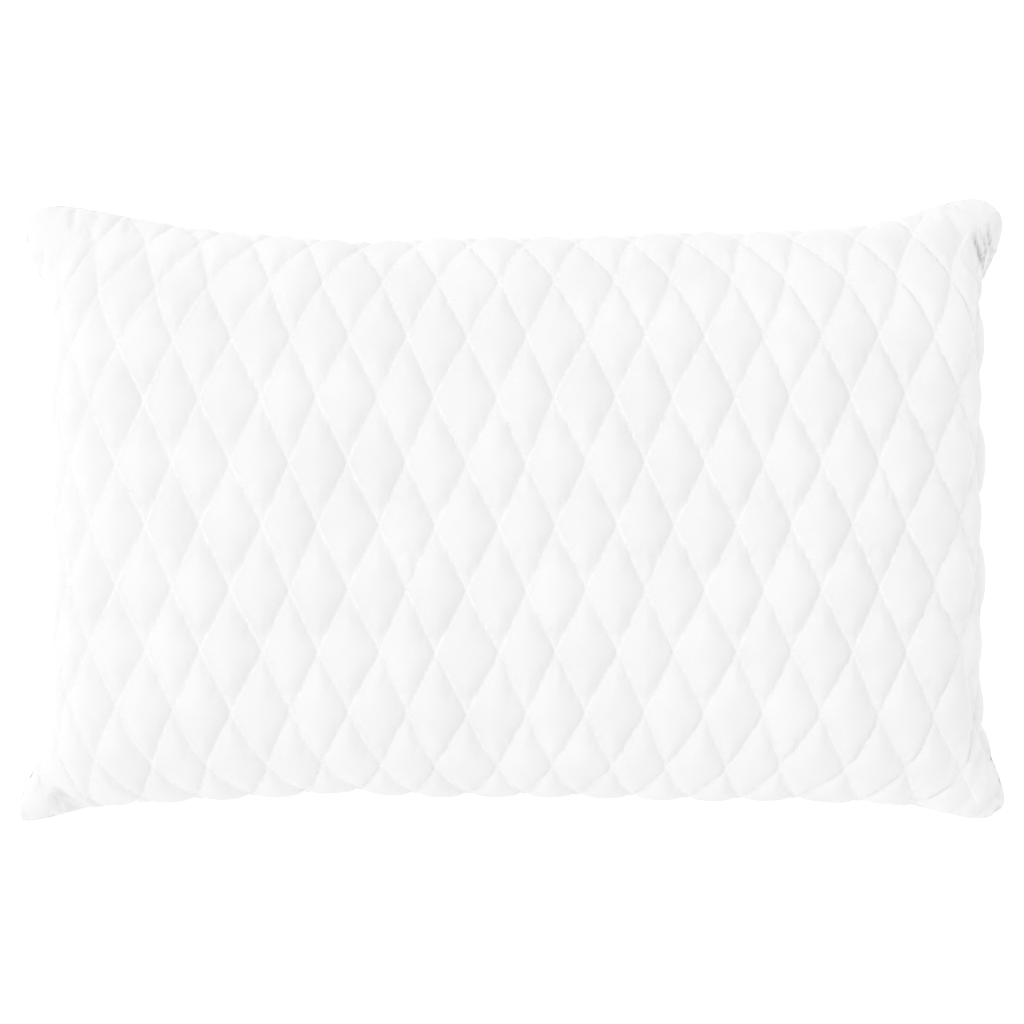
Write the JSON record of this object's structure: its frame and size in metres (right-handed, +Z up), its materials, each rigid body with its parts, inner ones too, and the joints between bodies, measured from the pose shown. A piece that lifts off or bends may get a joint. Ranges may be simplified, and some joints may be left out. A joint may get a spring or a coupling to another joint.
{
  "type": "bed pillow",
  "caption": "Plump rectangular bed pillow with a diamond-quilted cover, dog-ear corners, an inner case of fibre filling and a zip along one short side.",
  "frame": {"origin": "centre of the pillow's outline, on the surface it lies on", "axes": "+X along the long side towards the zip, +Y across the pillow, +Z up out of the upper face"},
  "size_m": [0.5996, 0.3804, 0.15],
  "materials": {
    "knit_fabric": "soft matte knit",
    "wadding": "matte fibre",
    "backing": "matte nonwoven",
    "case_cloth": "matte weave",
    "fibre_filling": "matte fibre",
    "thread": "satin",
    "zip_tape": "matte twill",
    "label": "satin",
    "coil_plastic": "satin",
    "stop_metal": "satin",
    "slider_metal": "polished"
  },
  "bodies": {
    "pillow": {"cover_top_fabric": "knit_fabric", "cover_top_wadding": "wadding", "cover_top_backing": "backing", "cover_bottom_fabric": "knit_fabric", "cover_bottom_wadding": "wadding", "cover_bottom_backing": "backing", "inner_case_top": "case_cloth", "inner_case_bottom": "case_cloth", "fibre_fill": "fibre_filling", "seam_thread": "thread", "zip_tape_upper": "zip_tape", "zip_tape_lower": "zip_tape", "zip_coil_upper": "coil_plastic", "zip_coil_lower": "coil_plastic", "zip_top_stop_upper": "stop_metal", "zip_top_stop_lower": "stop_metal", "zip_bottom_stop": "stop_metal", "care_label": "label"},
    "slider": {"zip_slider": "slider_metal"},
    "pull": {"zip_pull": "slider_metal"}
  },
  "joints": [
    {"name": "zip_slide", "type": "slide", "parent": "pillow", "child": "slider", "axis": [0, -1, 0], "range_m": [0, 0.195]},
    {"name": "pull_hinge", "type": "hinge", "parent": "slider", "child": "pull", "pos_m": [0.2782, 0.0965, 0.06], "axis": [0, 0, 1], "range_deg": [0, 170]}
  ]
}
